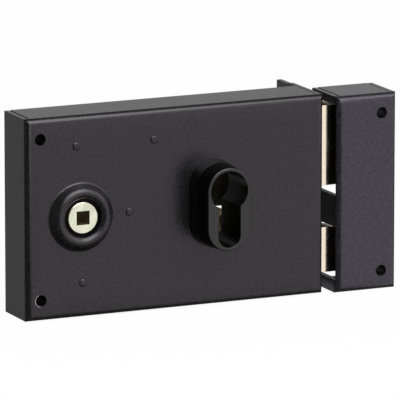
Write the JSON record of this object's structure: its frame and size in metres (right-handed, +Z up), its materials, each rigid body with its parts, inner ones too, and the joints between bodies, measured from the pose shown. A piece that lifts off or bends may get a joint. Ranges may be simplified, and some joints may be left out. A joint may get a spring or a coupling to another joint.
{
  "type": "door lock",
  "caption": "Surface-mounted rim lock: folded box case with dead bolt, latch, square follower and profile-cylinder collar, and its box strike.",
  "frame": {"origin": "axis of the profile cylinder's round head, on the plane of the door's face", "axes": "+X from the case to the strike, +Y into the door, +Z up"},
  "size_m": [0.1745, 0.0614, 0.0884],
  "materials": {
    "black_powder": "satin powder coat with a fine grain",
    "black_gloss": "smooth gloss enamel",
    "yellow_zinc": "yellow zinc plate",
    "bolt_nickel": "satin plate, warm",
    "hub_nickel": "bright plate",
    "bright_zinc": "bright zinc plate",
    "plain_steel": "oiled mild steel",
    "spring_steel": "drawn spring wire and strip",
    "bearing_brass": "turned",
    "black_bearing": "blackened, matt"
  },
  "bodies": {
    "lock_case": {"case_cover": "black_powder", "back_plate": "yellow_zinc", "cylinder_collar": "black_gloss", "dead_bolt_post": "bright_zinc", "lever_post": "bright_zinc", "latch_post": "bright_zinc", "spring_post": "bright_zinc", "back_plate_screws": "bright_zinc", "lower_mounting_tube": "bright_zinc", "upper_mounting_tube": "bright_zinc", "follower_bush": "bearing_brass", "front_bush": "black_bearing", "follower_spring": "spring_steel", "latch_spring": "spring_steel", "detent_spring": "spring_steel", "detent_rivet": "bright_zinc", "strike_box": "black_powder", "strike_tubes": "bright_zinc"},
    "follower": {"follower": "hub_nickel"},
    "latch": {"latch_bolt": "bolt_nickel", "latch_tail": "plain_steel", "latch_rivets": "bright_zinc", "latch_drive_pin": "plain_steel", "latch_spring_rod": "plain_steel"},
    "latch_lever": {"latch_lever": "plain_steel"},
    "dead_bolt": {"dead_bolt": "bolt_nickel", "dead_bolt_tail": "plain_steel", "dead_bolt_rivets": "bright_zinc"}
  },
  "joints": [
    {"name": "latch_slide", "type": "slide", "parent": "lock_case", "child": "latch", "axis": [-1, 0, 0], "range_m": [0, 0.012], "stiffness_N_per_m": 600, "springref_m": -0.015, "deforming": ["latch_spring"]},
    {"name": "follower_turn", "type": "hinge", "parent": "lock_case", "child": "follower", "pos_m": [-0.062, 0, -0.009], "axis": [0, 1, 0], "range_deg": [0, 36], "deforming": ["follower_spring"]},
    {"name": "latch_lever_swing", "type": "hinge", "parent": "lock_case", "child": "latch_lever", "pos_m": [-0.0393, 0, -0.0087], "axis": [0, 1, 0], "range_deg": [0, 34.54]},
    {"name": "dead_bolt_slide", "type": "slide", "parent": "lock_case", "child": "dead_bolt", "axis": [-1, 0, 0], "range_m": [0, 0.02], "deforming": ["detent_spring"]}
  ],
  "couplings": [
    {"joint": "follower_turn", "follows": "latch_slide", "rad_per_m": 52.36},
    {"joint": "latch_lever_swing", "follows": "latch_slide", "rad_per_m": 50.236}
  ]
}
